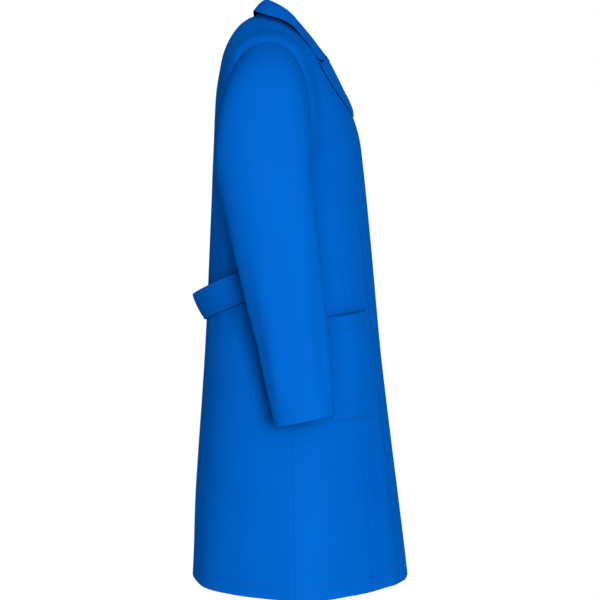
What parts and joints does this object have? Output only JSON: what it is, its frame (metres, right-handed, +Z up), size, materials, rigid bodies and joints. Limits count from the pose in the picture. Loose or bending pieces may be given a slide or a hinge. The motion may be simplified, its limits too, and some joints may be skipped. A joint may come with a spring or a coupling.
{
  "type": "lab coat",
  "caption": "Knee-length A-line lab coat, notched collar, long set-in sleeves, patch pockets, a loose half belt and a stud closure, in its worn shape.",
  "frame": {"origin": "the hanging point in the neck opening: on the mid-plane, in the plane of the shoulder seams and at the level of the side neck points", "axes": "+Z up, +X towards the wearer's left, the wearer faces -Y"},
  "size_m": [0.6126, 0.3755, 0.9992],
  "materials": {
    "face_cloth": "matt twill",
    "facing_cloth": "matt twill",
    "tape": "woven tape",
    "button": "satin",
    "press_stud": "satin"
  },
  "bodies": {
    "coat_shell": {"back_right_panel": "face_cloth", "back_left_panel": "face_cloth", "back_neck_facing": "facing_cloth", "under_collar": "facing_cloth", "top_collar": "face_cloth", "right_side_front_panel": "face_cloth", "right_front_panel": "face_cloth", "right_lapel_under": "face_cloth", "right_lapel_facing": "facing_cloth", "right_pocket": "face_cloth", "left_side_front_panel": "face_cloth", "left_front_panel": "face_cloth", "left_lapel_under": "face_cloth", "left_lapel_facing": "facing_cloth", "left_pocket": "face_cloth"},
    "right_sleeve": {"right_upper_sleeve": "face_cloth", "right_under_sleeve": "face_cloth"},
    "left_sleeve": {"left_upper_sleeve": "face_cloth", "left_under_sleeve": "face_cloth"},
    "right_front": {"right_front_band": "face_cloth", "right_front_facing": "facing_cloth", "press_stud_socket_1": "press_stud", "press_stud_socket_2": "press_stud", "press_stud_socket_3": "press_stud", "press_stud_socket_4": "press_stud", "press_stud_socket_5": "press_stud"},
    "left_front": {"left_front_band": "face_cloth", "left_front_facing": "facing_cloth", "press_stud_ball_1": "press_stud", "press_stud_ball_2": "press_stud", "press_stud_ball_3": "press_stud", "press_stud_ball_4": "press_stud", "press_stud_ball_5": "press_stud"},
    "belt": {"half_belt": "face_cloth", "half_belt_lining": "facing_cloth", "belt_button_right": "button", "belt_button_left": "button"},
    "loop": {"hanger_loop": "tape"}
  },
  "joints": [
    {"name": "right_sleeve_swing", "type": "hinge", "parent": "coat_shell", "child": "right_sleeve", "pos_m": [-0.1905, -0.01797, -0.185], "axis": [1, 0, 0], "range_deg": [-60, 20]},
    {"name": "left_sleeve_swing", "type": "hinge", "parent": "coat_shell", "child": "left_sleeve", "pos_m": [0.1905, -0.01797, -0.185], "axis": [1, 0, 0], "range_deg": [-60, 20]},
    {"name": "right_front_open", "type": "hinge", "parent": "coat_shell", "child": "right_front", "pos_m": [-0.09, -0.18717, -0.628], "axis": [0, -0.112, -0.9937], "range_deg": [0, 80]},
    {"name": "left_front_open", "type": "hinge", "parent": "coat_shell", "child": "left_front", "pos_m": [0.09, -0.18717, -0.628], "axis": [0, 0.112, 0.9937], "range_deg": [0, 56]},
    {"name": "belt_swing", "type": "hinge", "parent": "coat_shell", "child": "belt", "pos_m": [0, 0.012, -0.436], "axis": [1, 0, 0], "range_deg": [0, 22]},
    {"name": "loop_flip", "type": "hinge", "parent": "coat_shell", "child": "loop", "pos_m": [0, 0.0163, 0.013], "axis": [-1, 0, 0], "range_deg": [0, 120]}
  ],
  "couplings": [
    {"joint": "left_front_open", "follows": "right_front_open", "ratio": 0.7}
  ]
}
